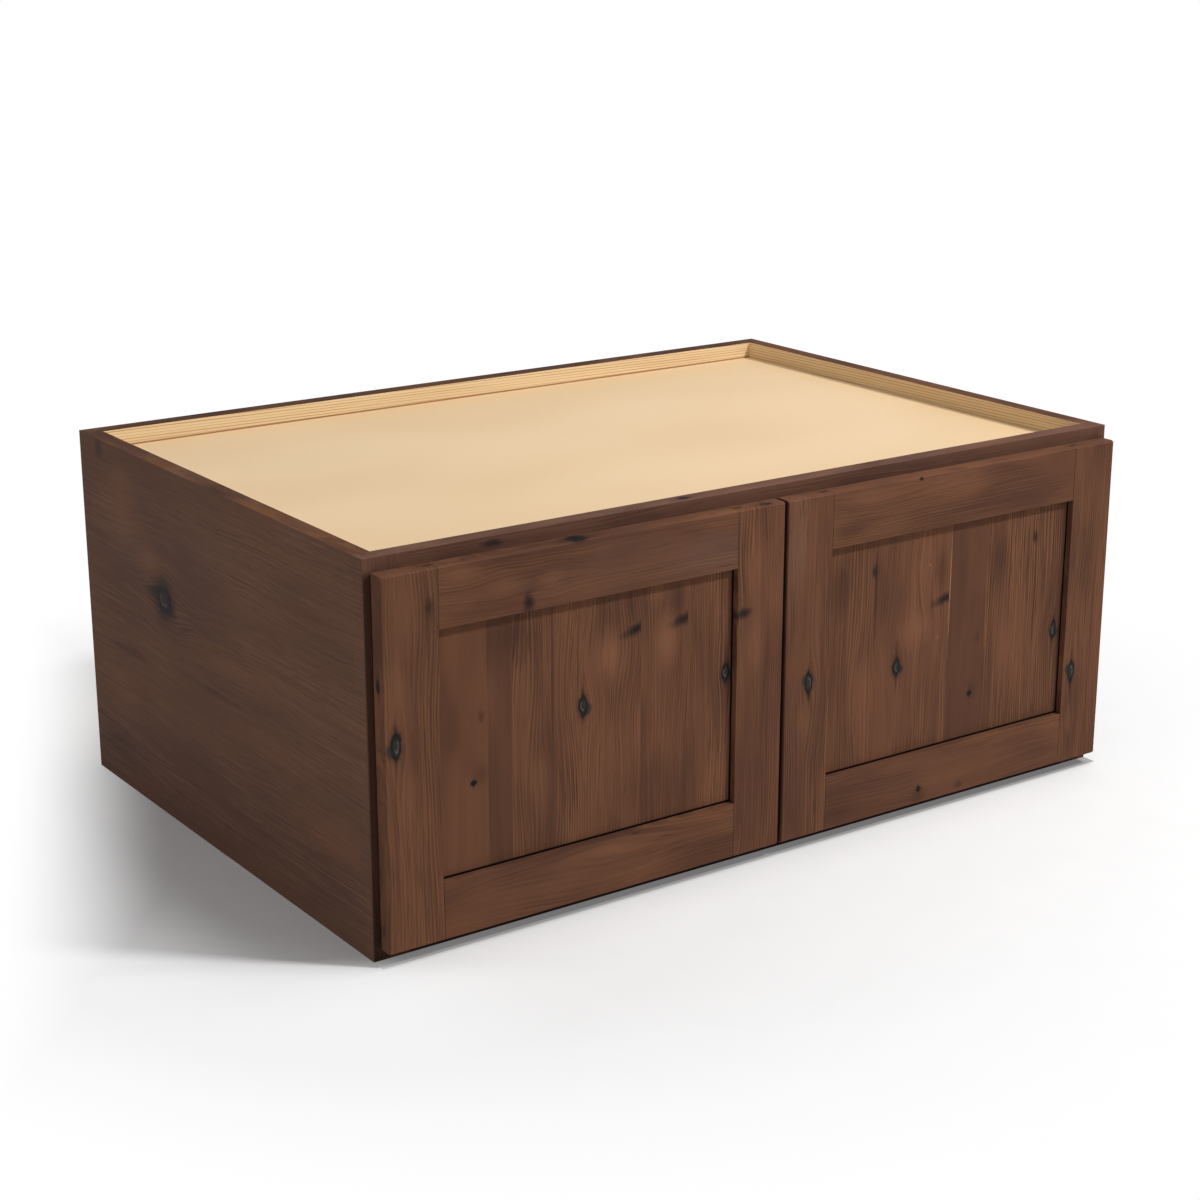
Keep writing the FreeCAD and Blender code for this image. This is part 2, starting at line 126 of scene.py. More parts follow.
DOOR_STAIN = Stain(srgb(81, 54, 43), srgb(96, 64, 49), srgb(107, 71, 53),
                   srgb(128, 88, 60), srgb(121, 82, 61), srgb(49, 34, 30))
FRAME_STAIN = Stain(srgb(82, 57, 48), srgb(98, 68, 56), srgb(107, 74, 60),
                    srgb(121, 87, 66), srgb(113, 79, 62), srgb(49, 36, 33))
RIM_STAIN = Stain(srgb(75, 48, 35), srgb(89, 57, 41), srgb(98, 64, 44),
                  srgb(114, 77, 49), srgb(104, 68, 46), srgb(46, 32, 28))
SIDE_STAIN = Stain(srgb(70, 50, 42), srgb(78, 56, 46), srgb(86, 60, 47),
                   srgb(106, 78, 60), srgb(96, 65, 49), srgb(44, 34, 31))
SCUFF = srgb(158, 114, 86)
HAZE = srgb(110, 85, 74)
KNOT_LIGHT = srgb(80, 75, 69)
KNOT_CORE = srgb(50, 47, 45)
KNOT_EDGE = srgb(31, 30, 32)
# A dark brown for the glaze in rail joints and on hanging-rail rims, and for painted shade on the door
# edges and beside the doors.
GLAZE_AND_SHADE_BROWN = srgb(34, 23, 20)
# A near-black for the painted shade line round the door panels.
PAINTED_SHADE_BLACK = srgb(9, 7, 7)

# Display colours of the pale, clear-coated wood, the metal, the plastic and the floor.
MAPLE_PALE = srgb(225, 196, 157)
MAPLE_WARM = srgb(220, 190, 149)
MAPLE_FLECK = srgb(205, 160, 108)
PINE_PALE = srgb(238, 213, 171)
PINE_WARM = srgb(228, 201, 160)
PINE_LINE = srgb(190, 148, 101)
PINE_SEAM = srgb(146, 102, 64)
NICKEL_BRIGHT = srgb(196, 192, 184)
NICKEL_DULL = srgb(172, 168, 160)
BUMPER_CLEAR = srgb(226, 226, 220)
BUMPER_CLOUDED = srgb(206, 208, 204)
PAPER_SHADE = srgb(237, 237, 237)
PAPER_LIGHT = srgb(241, 241, 241)
WHITE = (1.0, 1.0, 1.0, 1.0)

# How strongly the figure shows on each kind of board, and how strongly its fine lines do.
RAIL_FIGURE = 0.45
STILE_FIGURE = 0.8
PANEL_FIGURE = 1.0
SIDE_FIGURE = 0.65
RIM_FIGURE = 0.6
HANGING_RIM_FIGURE = 1.0
FINE_LINES = 0.7
CALM_LINES = 0.3

# Noises of the stained wood.
GRAIN_WANDER = Pattern(0.0045, 0.012, 0.01, detail=1.0)
RAGGED_EDGE = Pattern(0.13, 0.19, 0.2, detail=3.0, roughness=0.6)
DRIFTING_EDGE = Pattern(0.016, 0.03, 0.02, detail=1.0)
LINE_WANDER = Pattern(0.0022, 0.05, 0.02)
LINE_FADING = Pattern(0.008, 0.1, 0.05)
STAIN_CLOUD = Pattern(0.007, 0.017, 0.02)
BROAD_CLOUD = Pattern(0.0028, 0.0068, 0.02)
FIGURE_ZONES = Pattern(0.004, 0.022, 0.02, detail=1.0)
BANDS = Pattern(0.0035, 0.085, 0.08, roughness=0.55)
GOLD_STREAKS = Pattern(0.007, 0.6, 0.08, detail=3.0, roughness=0.55)
DARK_STREAKS = Pattern(0.004, 0.62, 0.08, detail=3.0, roughness=0.55)
PORES = Pattern(0.025, 0.75, 0.08, roughness=0.55)
OPEN_GRAIN = Pattern(0.011, 0.6, 0.08, detail=3.0, roughness=0.6)

# Noises of the pale wood.
MAPLE_CLOUD = Pattern(0.003, 0.006, 0.01, detail=1.0)
MAPLE_FLECKS = Pattern(0.35, 0.9, 0.3)
MAPLE_THREADS = Pattern(0.9, 0.25, 0.3)
COAT_FLECKS = Pattern(0.08, 0.9, 0.3)
PINE_CLOUD = Pattern(0.003, 0.05, 0.02)
PINE_DRIFT = Pattern(0.0035, 0.06, 0.02)
PINE_FADING = Pattern(0.004, 0.2, 0.02)

# Scales per millimetre of the noises in metal, plastic and paper.
NICKEL_LINES = (2.5, 2.5, 0.15)
NICKEL_CLOUD = (0.09, 0.09, 0.09)
BUMPER_CLOUD = (1.0, 1.0, 1.0)
PAPER_FIBRE = (0.02, 0.02, 0.02)

# How the grain runs: how far it wanders, in millimetres, the radians by which fine lines and the
# pine's growth lines advance per millimetre and sway with the noise, and how the pine's lines slant.
GRAIN_SWAY = 18.0
FINE_LINE_RATE = 1.8
FINE_LINE_SWAY = 16.0
PINE_LINE_RATE = 2.0
PINE_LINE_SWAY = 6.0
PINE_SLANT_ALONG = 0.013
PINE_SLANT_DEPTH = 0.35

# How far each strip and each seed moves the noise, and how far a mark's edge swings in and out,
# as a part of the mark's size.
STRIP_SHIFT = 3.7
SEED_SHIFT = 5.3
EDGE_SWING = 0.8

# The grain flows round a knot and opens out at a glow: the stretch of that place in the mark's
# own sizes, along and across, and how strongly the grain is pushed.
KNOT_STRETCH = (3.6, 2.8)
KNOT_PUSH = 0.75
GLOW_STRETCH = (1.3, 1.3)
GLOW_PUSH = 0.5

# How a strip's lightness moves the tone of its stain, and how far a glow calms the figure.
STRIP_TONE = 0.4
GLOW_CALM = 0.6

# The parts of a mark's pointed oval, and of a knot, in the mark's own sizes.
OVAL_SHARE = 0.85
DIAMOND_SHARE = 0.15
KNOT_TAIL = (2.6, 0.4)
LOBE_SHIFT = 0.3
LOBE_SIZE = (0.5, 0.9)
CRACK_RADIUS = 0.4
CRACK_AIM = (0.6, 0.8)

# Where dark glaze lies: at a rail's joint and in the seam of a hanging rail, with how strongly it
# covers the rim of such a rail. Where painted shade lies: round a panel, on a stile's edge measured
# from the middle of the cabinet, and beside the doors on the frame.
JOINT_GLAZE = Band(1.3, 0.5, 0.55)
PANEL_SIDE_SHADE = Band(3.0, 1.6)
PANEL_END_SHADE = Band(2.9, 1.7)
STILE_EDGE_SHADES = {"hinge_stile": Band(449.9, 450.7, 0.45), "lock_stile": Band(3.0, 1.8, 0.65)}
FRAME_SHADE_BELOW_DOOR_TOP = Band(DOOR_TOP + 4.0, DOOR_TOP - 4.0, 0.55)
FRAME_SHADE_BESIDE_DOOR = Band(436.0, 449.0)
SEAM_GLAZE = Band(2.4, 1.2, 0.85)
HANGING_RIM_GLAZE = 0.35

# Where the stained outer faces and rims begin.
OUTER_SKIN = Band(OUTER_FACE - 0.3, OUTER_FACE - 0.1)
STAINED_SIDE = Band(SIDE_INNER_FACE + 0.2, SIDE_INNER_FACE + 0.5)
TOP_RIM = Band(CABINET_HEIGHT - 0.4, CABINET_HEIGHT - 0.2)
BOTTOM_RIM = Band(0.4, 0.2)

# The floor, in metres, and where it turns white: far out, and towards the left and before the front
# left corner, where the white is painted light that cuts the cabinet's cast shadow short. Under the
# doors it has a strip of painted shadow.
FLOOR_RADIUS = 6.0
FLOOR_DROP = 0.0005
FLOOR_SEGMENTS = 96
FAR_WHITE = Band(520.0, 950.0)
LEFT_DIRECTION = (-0.917, 0.398, 0.0)
LEFT_PAINTED_LIGHT = Band(474.0, 644.0)
CORNER_DIRECTION = (-0.574, -0.819, 0.0)
CORNER_PAINTED_LIGHT = Band(488.0, 545.0)
CORNER_PAINTED_LIGHT_SPREAD = Band(50.0, 350.0, 0.5)
SHADOW_UNDER_DOORS = Band(-312.0, -309.0, 0.7)
SHADOW_UNDER_DOORS_LEVEL = 0.22

# The light: the world's level on the cabinet, and the lamps.
WORLD_LIGHT = 0.28
LAMPS = {
    "key_lamp": Lamp((1.0, -0.5, 4.2), (1.7, 0.4, 0.2), 1.8, 56.0),
    "front_lamp": Lamp((1.64, -2.2, 3.0), (0.1, -0.2, 0.25), 0.4, 100.0),
    "side_lamp": Lamp((-3.2, -0.2, 0.3), (-0.4, 0.0, 0.2), 0.55, 30.0),
}

# Numbers that give each board a figure of its own: for the fixed boards, how far the rim of a side
# is from its face, and for the doors the start and the step from board to board.
SEEDS = {
    "left_side_panel": 3.9,
    "right_side_panel": 31.4,
    "frame_left_stile": 2.3,
    "frame_right_stile": 3.3,
    "frame_top_rail": 5.1,
    "frame_bottom_rail": 6.1,
    "top_panel": 4.4,
    "bottom_panel": 6.6,
    "back_panel": 7.7,
    "top_hanging_rail": 12.5,
    "bottom_hanging_rail": 14.5,
}
RIM_SEED_STEP = 1.0
DOOR_SEED = 8.0
DOOR_SEED_STEP = 1.7

# The strips of the door panels and the marks of the boards, placed where the photograph shows
# them, in millimetres.
PANEL_STRIPS = {
    "left": (
        Strip(-394.0, 0.9, 0.1),
        Strip(-340.0, 0.3, 0.15),
        Strip(-314.0, 0.55, 1.0),
        Strip(-240.0, 0.6, 0.6),
        Strip(-168.7, 0.5, 0.5),
        Strip(-113.2, 0.55, 1.0),
    ),
    "right": (
        Strip(58.0, 0.4, 0.65),
        Strip(122.5, 0.65, 0.6),
        Strip(225.9, 0.15, 0.1),
        Strip(278.5, 0.3, 1.2),
    ),
}
MARKS = {
    "left_side_panel": Marks(
        knots=(Mark(121.0, 241.0, 16.0, 15.0, 0.5, tilt=30.0, lobe=(1.0, 1.0)),),
        smears=(
            Mark(121.0, 241.0, 33.0, 27.0, 0.85, 30.0),
            Mark(121.0, 241.0, 22.0, 19.0, 0.9, 30.0),
            Mark(146.0, 243.0, 24.0, 9.0, 0.65),
            Mark(266.0, 372.0, 12.0, 14.0, 0.5),
        ),
        smudges=(
            Mark(-213.0, 286.0, 110.0, 60.0, 0.15),
            Mark(35.0, 345.0, 120.0, 30.0, 0.1),
            Mark(215.0, 161.0, 70.0, 7.0, 0.35),
            Mark(23.0, 172.0, 90.0, 6.0, 0.3),
            Mark(260.0, 34.0, 70.0, 30.0, 0.25),
        ),
        glows=(
            Mark(213.0, 320.0, 55.0, 45.0, 0.75),
            Mark(150.0, 272.0, 40.0, 24.0, 0.6),
            Mark(236.0, 108.0, 60.0, 30.0, 0.5),
            Mark(-14.0, 208.0, 120.0, 18.0, 0.5),
            Mark(-104.0, 150.0, 130.0, 28.0, 0.45),
            Mark(-228.0, 97.0, 90.0, 30.0, 0.5),
        ),
        hazes=(Mark(205.0, 300.0, 110.0, 70.0, 0.15), Mark(20.0, 330.0, 160.0, 45.0, 0.12)),
    ),
    "left_side_panel_rim": Marks(
        smudges=(Mark(0.0, 376.0, 45.0, 20.0, 0.5), Mark(285.0, 376.0, 35.0, 20.0, 0.45)),
        glows=(Mark(-90.0, 376.0, 60.0, 20.0, 0.6), Mark(130.0, 376.0, 50.0, 20.0, 0.5)),
    ),
    "left_door_panel": Marks(
        knots=(
            Mark(205.4, -235.0, 11.5, 5.5),
            Mark(206.0, -67.4, 11.0, 5.0),
            Mark(156.1, -355.5, 2.7, 3.2),
        ),
        smears=(
            Mark(270.0, -173.0, 7.0, 22.0, 0.95, -14.0, -168.7),
            Mark(270.0, -117.5, 7.0, 21.0, 0.9, -14.0, -113.2),
        ),
        smudges=(
            Mark(295.0, -180.0, 24.0, 10.0, 0.4, 0.0, -168.7),
            Mark(292.0, -124.0, 22.0, 9.0, 0.35, 0.0, -113.2),
            Mark(219.0, -346.8, 9.0, 5.0, 0.45),
            Mark(163.0, -347.0, 16.0, 9.0, 0.3),
            Mark(287.0, -318.0, 34.0, 34.0, 0.3),
            Mark(107.0, -150.0, 50.0, 60.0, 0.35),
            Mark(235.0, -268.8, 95.0, 1.8, 0.6),
            Mark(245.0, -240.5, 50.0, 1.5, 0.5),
        ),
        glows=(
            Mark(249.0, -205.0, 32.0, 26.0),
            Mark(252.0, -137.0, 36.0, 18.0),
            Mark(302.0, -150.0, 16.0, 16.0, 0.5),
            Mark(235.0, -300.0, 45.0, 14.0, 0.5),
            Mark(141.0, -285.0, 45.0, 16.0, 0.5),
        ),
    ),
    "left_door_hinge_stile": Marks(
        knots=(
            Mark(211.6, -439.7, 13.0, 6.0, lobe=(-1.0, -1.0)),
            Mark(266.8, -450.8, 6.0, 3.0, depth=-305.7, reach=3.0),
        ),
        smears=(Mark(333.7, -402.8, 11.0, 6.0, 0.6),),
        smudges=(Mark(310.0, -404.5, 55.0, 2.5, 0.4),),
        glows=(
            Mark(270.0, -436.0, 40.0, 9.0, 0.5),
            Mark(160.0, -430.0, 55.0, 10.0, 0.4),
            # Painted light: this glow brightens the upper stile, which gets little light from the lamps on
            # the right.
            Mark(335.0, -428.0, 50.0, 20.0, 0.5),
        ),
    ),
    "left_door_top_rail": Marks(
        knots=(Mark(-242.0, 368.3, 10.0, 3.0, depth=-307.0, reach=9.0),),
        smears=(Mark(-298.5, 319.5, 7.5, 13.0, 0.9),),
        smudges=(Mark(-345.0, 320.0, 55.0, 12.0, 0.35), Mark(-200.0, 338.0, 190.0, 34.0, 0.17)),
        glows=(
            Mark(-368.0, 357.0, 24.0, 9.0, 0.5),
            Mark(-324.0, 338.0, 26.0, 14.0, 0.5),
            Mark(-273.0, 336.0, 18.0, 13.0, 0.7),
            Mark(-220.0, 357.0, 55.0, 10.0, 0.3),
        ),
        hazes=(Mark(-85.0, 332.0, 60.0, 28.0, 0.45), Mark(-190.0, 338.0, 130.0, 32.0, 0.2)),
    ),
    "left_door_bottom_rail": Marks(
        smudges=(Mark(-100.0, 30.0, 55.0, 22.0, 0.2), Mark(-179.6, 67.0, 6.0, 2.0, 0.6)),
        # The second glow, wide and low on the rail, is painted light that lifts the rail out of shade.
        glows=(Mark(-209.0, 57.0, 75.0, 11.0, 0.55), Mark(-226.0, 38.0, 170.0, 30.0, 0.35)),
    ),
    "left_door_lock_stile": Marks(
        knots=(Mark(368.3, -23.1, 3.0, 6.0, depth=-308.9, reach=4.0),),
        smears=(Mark(264.6, -52.0, 7.0, 14.0, 0.9, -8.0),),
        smudges=(Mark(176.0, -48.0, 45.0, 10.0, 0.15),),
        glows=(Mark(316.0, -36.0, 40.0, 16.0, 0.5), Mark(235.0, -36.0, 40.0, 14.0, 0.6)),
    ),
    "right_door_lock_stile": Marks(
        knots=(Mark(177.3, 33.0, 12.0, 5.2, lobe=(1.0, -1.0)),),
        glows=(Mark(139.0, 26.0, 28.0, 14.0, 0.5), Mark(230.0, 42.0, 70.0, 8.0, 0.35)),
        hazes=(Mark(325.0, 18.0, 60.0, 16.0, 0.4),),
    ),
    "right_door_panel": Marks(
        knots=(
            Mark(168.0, 155.8, 11.0, 5.5),
            Mark(167.7, 381.5, 11.0, 5.0),
            Mark(118.8, 261.1, 2.8, 3.4),
        ),
        smears=(
            Mark(231.0, 221.0, 7.0, 22.0, 0.95, -14.0, 225.9),
            Mark(275.6, 122.1, 9.0, 5.0, 0.8),
            Mark(276.4, 346.5, 9.0, 5.0, 0.8),
        ),
        smudges=(
            Mark(262.0, 214.0, 28.0, 10.0, 0.4, 0.0, 225.9),
            Mark(179.4, 268.0, 9.0, 6.0, 0.3),
            Mark(122.0, 263.0, 14.0, 10.0, 0.3),
            Mark(265.0, 78.0, 36.0, 20.0, 0.4),
            Mark(258.0, 297.0, 36.0, 22.0, 0.45),
            Mark(245.0, 124.6, 75.0, 1.8, 0.6),
            Mark(215.0, 349.5, 95.0, 1.8, 0.6),
        ),
        glows=(
            Mark(205.0, 180.0, 26.0, 24.0, 0.75),
            Mark(277.0, 190.0, 32.0, 14.0, 0.4),
            Mark(158.0, 306.0, 65.0, 14.0, 0.45),
            Mark(139.0, 110.0, 55.0, 14.0, 0.4),
        ),
        scuffs=(
            Mark(245.0, 226.8, 85.0, 1.1, 0.8, depth=-307.8, reach=4.0),
            Mark(270.0, 197.5, 2.0, 1.6, 0.6, depth=-307.8, reach=4.0),
            Mark(190.0, 212.0, 2.0, 1.6, 0.5, depth=-307.8, reach=4.0),
        ),
    ),
    "right_door_hinge_stile": Marks(
        knots=(Mark(116.1, 405.8, 13.0, 5.2, lobe=(1.0, -1.0)),),
        # The long faint second smudge is painted shade, darkening the stile where the lamps on the right
        # light it strongly.
        smudges=(Mark(245.0, 422.0, 65.0, 14.0, 0.3), Mark(190.0, 428.0, 240.0, 40.0, 0.12)),
        glows=(Mark(60.0, 406.0, 26.0, 10.0, 0.4),),
    ),
    "right_door_top_rail": Marks(
        knots=(Mark(174.2, 366.0, 2.0, 1.6),),
        smudges=(Mark(81.0, 325.0, 34.0, 15.0, 0.35),),
        glows=(Mark(108.0, 357.0, 45.0, 10.0, 0.6), Mark(227.0, 354.0, 65.0, 11.0, 0.45)),
    ),
    "right_door_bottom_rail": Marks(
        knots=(Mark(187.0, 29.0, 2.6, 3.4),),
        smudges=(
            Mark(187.0, 21.0, 15.0, 10.0, 0.35),
            Mark(244.5, 22.0, 8.0, 5.0, 0.45),
            Mark(76.0, 32.0, 30.0, 26.0, 0.25),
        ),
        # The second glow, wide and low on the rail, is painted light that lifts the rail out of shade.
        glows=(Mark(160.0, 60.0, 65.0, 10.0, 0.35), Mark(240.0, 38.0, 150.0, 30.0, 0.35)),
    ),
    "frame_top_rail": Marks(
        knots=(Mark(-103.3, 381.0, 6.0, 3.0, depth=-284.5, reach=4.0),),
        smears=(Mark(-324.0, 374.5, 16.0, 4.5, 0.8),),
    ),
    # Painted shade: a dark band along the lowest part of the bottom rail, under the doors.
    "frame_bottom_rail": Marks(smudges=(Mark(0.0, 0.0, 2000.0, 13.0, 0.9),)),
}


class Graph:
    """The node tree of a material or world, with short ways to add the nodes used here."""

    def __init__(self, owner):
        owner.use_nodes = True
        self.owner = owner
        self.tree = owner.node_tree
        self.tree.nodes.clear()

    def node(self, kind, **settings):
        made = self.tree.nodes.new(kind)
        for key, value in settings.items():
            setattr(made, key, value)
        return made

    def feed(self, socket, value):
        """Links a socket to another one, or gives it a fixed value."""
        if isinstance(value, bpy.types.NodeSocket):
            self.tree.links.new(value, socket)
        else:
            socket.default_value = value

    def feed_all(self, made, values):
        for socket, value in zip(made.inputs, values):
            self.feed(socket, value)

    def math(self, operation, *values):
        made = self.node("ShaderNodeMath", operation=operation)
        self.feed_all(made, values)
        return made.outputs[0]

    def vector(self, operation, *values):
        made = self.node("ShaderNodeVectorMath", operation=operation)
        self.feed_all(made, values)
        return made.outputs["Value" if operation in ("LENGTH", "DOT_PRODUCT") else "Vector"]

    def combine(self, x, y, z):
        made = self.node("ShaderNodeCombineXYZ")
        self.feed_all(made, (x, y, z))
        return made.outputs[0]

    def place(self):
        """The point being shaded, in the cabinet's own frame, in millimetres."""
        coordinates = self.node("ShaderNodeTexCoord")
        scaled = self.vector("MULTIPLY", coordinates.outputs["Object"], (PER_METRE, PER_METRE, PER_METRE))
        split = self.node("ShaderNodeSeparateXYZ")
        self.feed(split.inputs[0], scaled)
        return split.outputs

    def noise(self, vector, detail=2.0, roughness=0.5):
        made = self.node("ShaderNodeTexNoise")
        self.feed(made.inputs["Vector"], vector)
        self.feed(made.inputs["Scale"], 1.0)
        self.feed(made.inputs["Detail"], detail)
        self.feed(made.inputs["Roughness"], roughness)
        return made.outputs["Fac"]

    def speckle(self, scales, detail=2.0):
        """A noise with a scale of its own in each direction of the cabinet's frame."""
        place = [self.math("MULTIPLY", part, scale) for part, scale in zip(self.place(), scales)]
        return self.noise(self.combine(*place), detail)

    def step(self, value, low, high, start=0.0, end=1.0):
        """A soft step from start, at low, to end, at high."""
        made = self.node("ShaderNodeMapRange", interpolation_type="SMOOTHSTEP")
        self.feed_all(made, (value, low, high, start, end))
        return made.outputs[0]

    def cover(self, place, band):
        """How strongly a band's finish covers a place."""
        return self.step(place, band.begins, band.full, 0.0, band.strength)

    def mix(self, amount, first, second):
        made = self.node("ShaderNodeMix", data_type="RGBA")
        colours = [socket for socket in made.inputs if socket.type == "RGBA"]
        self.feed(made.inputs[0], amount)
        self.feed(colours[0], first)
        self.feed(colours[1], second)
        return [socket for socket in made.outputs if socket.type == "RGBA"][0]

    def mix_shaders(self, amount, first, second):
        made = self.node("ShaderNodeMixShader")
        self.feed_all(made, (amount, first.outputs[0], second.outputs[0]))
        return made

    def bump(self, height, distance, strength):
        made = self.node("ShaderNodeBump")
        self.feed(made.inputs["Strength"], strength)
        self.feed(made.inputs["Distance"], distance)
        self.feed(made.inputs["Height"], height)
        return made.outputs["Normal"]

    def surface(self, **sockets):
        """Ends the tree with one surface shader, and returns the material."""
        shader = self.node("ShaderNodeBsdfPrincipled")
        for name, value in sockets.items():
            self.feed(shader.inputs[name.replace("_", " ")], value)
        return self.end("ShaderNodeOutputMaterial", shader)

    def end(self, kind, shader):
        output = self.node(kind)
        self.tree.links.new(shader.outputs[0], output.inputs["Surface"])
        return self.owner


def new_material(name):
    return Graph(bpy.data.materials.new(name))


class Board:
    """The grain of one board: streaks along the grain that bend round its knots and open out at
    its glows."""

    def __init__(self, graph, grain, across, seed, marks=Marks(), strips=(), glow_push=GLOW_PUSH):
        point = dict(zip("xyz", graph.place()))
        depth = next(axis for axis in "xyz" if axis not in grain + across)
        self.graph = graph
        self.along = point[grain]
        self.across = point[across]
        self.depth = point[depth]
        self.seed = seed
        self.marks = marks
        self.strips = strips
        self.strip = self.by_strip(range(len(strips)))
        self.bent = self.bend(glow_push)
        self.rough = self.swinging(RAGGED_EDGE)
        self.drift = self.swinging(DRIFTING_EDGE)

    def by_strip(self, values):
        """A value that changes from strip to strip across the board."""
        values = list(values)
        total = values[0] if values else 0.0
        for strip, before, after in zip(self.strips[1:], values, values[1:]):
            past = self.graph.math("GREATER_THAN", self.across, strip.start)
            total = self.graph.math("MULTIPLY_ADD", past, after - before, total)
        return total

    def bend(self, glow_push):
        """The place across the grain, pushed so that the streaks flow round each knot and open
        out where the stain took lightly."""
        graph = self.graph
        bent = graph.math("MULTIPLY_ADD", self.straight(GRAIN_WANDER), GRAIN_SWAY, self.across)
        swells = [(knot, KNOT_STRETCH, -KNOT_PUSH) for knot in self.marks.knots]
        if glow_push:
            swells += [(glow, GLOW_STRETCH, -glow_push) for glow in self.marks.glows]
        for mark, stretch, push in swells:
            span = self.distance_to(mark, *stretch)
            fall = graph.math("MULTIPLY", graph.math("MULTIPLY", span, span), -1.0)
            near = graph.math("EXPONENT", fall)
            aside = graph.math("SUBTRACT", self.across, mark.across)
            bent = graph.math("MULTIPLY_ADD", aside, graph.math("MULTIPLY", near, push), bent)
        return bent

    def texture(self, across, pattern):
        """A noise at a scale of its own, moved along for each board and strip."""
        graph = self.graph
        shift = graph.math("MULTIPLY_ADD", self.strip, STRIP_SHIFT, self.seed * SEED_SHIFT)
        place = graph.combine(graph.math("MULTIPLY_ADD", self.along, pattern.along, shift),
                              graph.math("MULTIPLY", across, pattern.across),
                              graph.math("MULTIPLY_ADD", self.depth, pattern.depth, shift))
        return graph.noise(place, pattern.detail, pattern.roughness)

    def straight(self, pattern):
        """A noise that runs straight through the board."""
        return self.texture(self.across, pattern)

    def flowing(self, pattern):
        """A noise that flows with the grain."""
        return self.texture(self.bent, pattern)

    def swinging(self, pattern):
        """How far a mark's edge lies in or out."""
        return self.graph.math("MULTIPLY_ADD", self.straight(pattern), EDGE_SWING, -0.5 * EDGE_SWING)

    def fine_lines(self):
        """Fine lines about 3.5 mm apart that wander along the grain and round the knots."""
        graph = self.graph
        wander = graph.math("MULTIPLY", self.flowing(LINE_WANDER), FINE_LINE_SWAY)
        phase = graph.math("MULTIPLY_ADD", self.bent, FINE_LINE_RATE, wander)
        lines = graph.step(graph.math("SINE", phase), 0.0, 0.8)
        return graph.math("MULTIPLY", lines, graph.step(self.flowing(LINE_FADING), 0.35, 0.6))

    def distance_to(self, mark, length_factor=1.0, width_factor=1.0):
        """How far the point is from a mark's middle, where 1 is the edge of its pointed oval."""
        graph = self.graph
        place = graph.combine(self.along, self.across, self.depth)
        offset = graph.vector("SUBTRACT", place, (mark.along, mark.across, mark.depth or 0.0))
        length = mark.length * length_factor
        width = mark.width * width_factor
        cosine = math.cos(math.radians(mark.tilt))
        sine = math.sin(math.radians(mark.tilt))
        along = graph.vector("DOT_PRODUCT", offset, (cosine / length, sine / length, 0.0))
        across = graph.vector("DOT_PRODUCT", offset, (-sine / width, cosine / width, 0.0))
        inward = 0.0
        if mark.depth is not None:
            inward = graph.vector("DOT_PRODUCT", offset, (0.0, 0.0, 1.0 / mark.reach))
        parts = graph.combine(along, across, inward)
        oval = graph.vector("LENGTH", parts)
        shares = (DIAMOND_SHARE, DIAMOND_SHARE, DIAMOND_SHARE)
        diamond = graph.vector("DOT_PRODUCT", graph.vector("ABSOLUTE", parts), shares)
        return graph.math("MULTIPLY_ADD", oval, OVAL_SHARE, diamond)

    def uneven(self, mark, length_factor=1.0, width_factor=1.0):
        """The distance to a mark, with a ragged edge on a small one and a drifting edge on a large
        one."""
        large = mark.length > LARGE_MARK[0] and mark.width > LARGE_MARK[1]
        edge = self.drift if large else self.rough
        return self.graph.math("ADD", self.distance_to(mark, length_factor, width_factor), edge)


def patch_amount(board, mark):
    """How strongly a soft-edged patch shows."""
    graph = board.graph
    amount = graph.step(board.uneven(mark), 1.25, 0.05, 0.0, mark.strength)
    if mark.cut is not None:
        amount = graph.math("MULTIPLY", amount, graph.math("LESS_THAN", board.across, mark.cut))
    return amount


def add_patches(board, colour, tone, marks):
    """Soft-edged patches of another tone."""
    for mark in marks:
        colour = board.graph.mix(patch_amount(board, mark), colour, tone)
    return colour


def add_lobe(board, colour, knot):
    """The dark lobe at one side of a large knot."""
    graph = board.graph
    end, side = knot.lobe
    lobe = knot._replace(along=knot.along + LOBE_SHIFT * end * knot.length,
                         across=knot.across + side * knot.width,
                         length=LOBE_SIZE[0] * knot.length, width=LOBE_SIZE[1] * knot.width)
    amount = graph.step(board.uneven(lobe), 1.3, 0.5, 0.0, 0.85 * knot.strength)
    return graph.mix(amount, colour, KNOT_CORE)


def cracked_heart(board, core, knot):
    """The heart of a large knot, with a light hooked crack on the side away from its lobe."""
    graph = board.graph
    end, side = knot.lobe
    onward = graph.math("SUBTRACT", board.along, knot.along)
    aside = graph.math("SUBTRACT", board.across, knot.across)
    facing = graph.math("MULTIPLY_ADD", onward, CRACK_AIM[0] * end / knot.length,
                        graph.math("MULTIPLY", aside, -CRACK_AIM[1] * side / knot.width))
    ring = graph.math("ABSOLUTE", graph.math("SUBTRACT", core, CRACK_RADIUS))
    crack = graph.math("MULTIPLY", graph.step(ring, 0.16, 0.04), graph.step(facing, 0.0, 0.1))
    heart = graph.mix(graph.step(core, 0.9, 0.3), KNOT_EDGE, KNOT_CORE)
    return graph.mix(crack, heart, KNOT_LIGHT)


def add_knot(board, colour, stain, knot):
    """A dark knot with a soft halo and a thin tail along the grain; a large one has a lobe and a
    cracked heart."""
    graph = board.graph
    tail = board.uneven(knot, *KNOT_TAIL)
    colour = graph.mix(graph.step(tail, 1.4, 0.2, 0.0, 0.6 * knot.strength), colour, stain.pore)
    core = board.uneven(knot)
    colour = graph.mix(graph.step(core, 1.9, 0.8, 0.0, 0.4 * knot.strength), colour, stain.pore)
    heart = KNOT_EDGE
    if knot.width >= HEARTED_KNOT:
        colour = add_lobe(board, colour, knot)
        heart = cracked_heart(board, core, knot)
    return graph.mix(graph.step(core, 1.2, 0.8, 0.0, knot.strength), colour, heart)


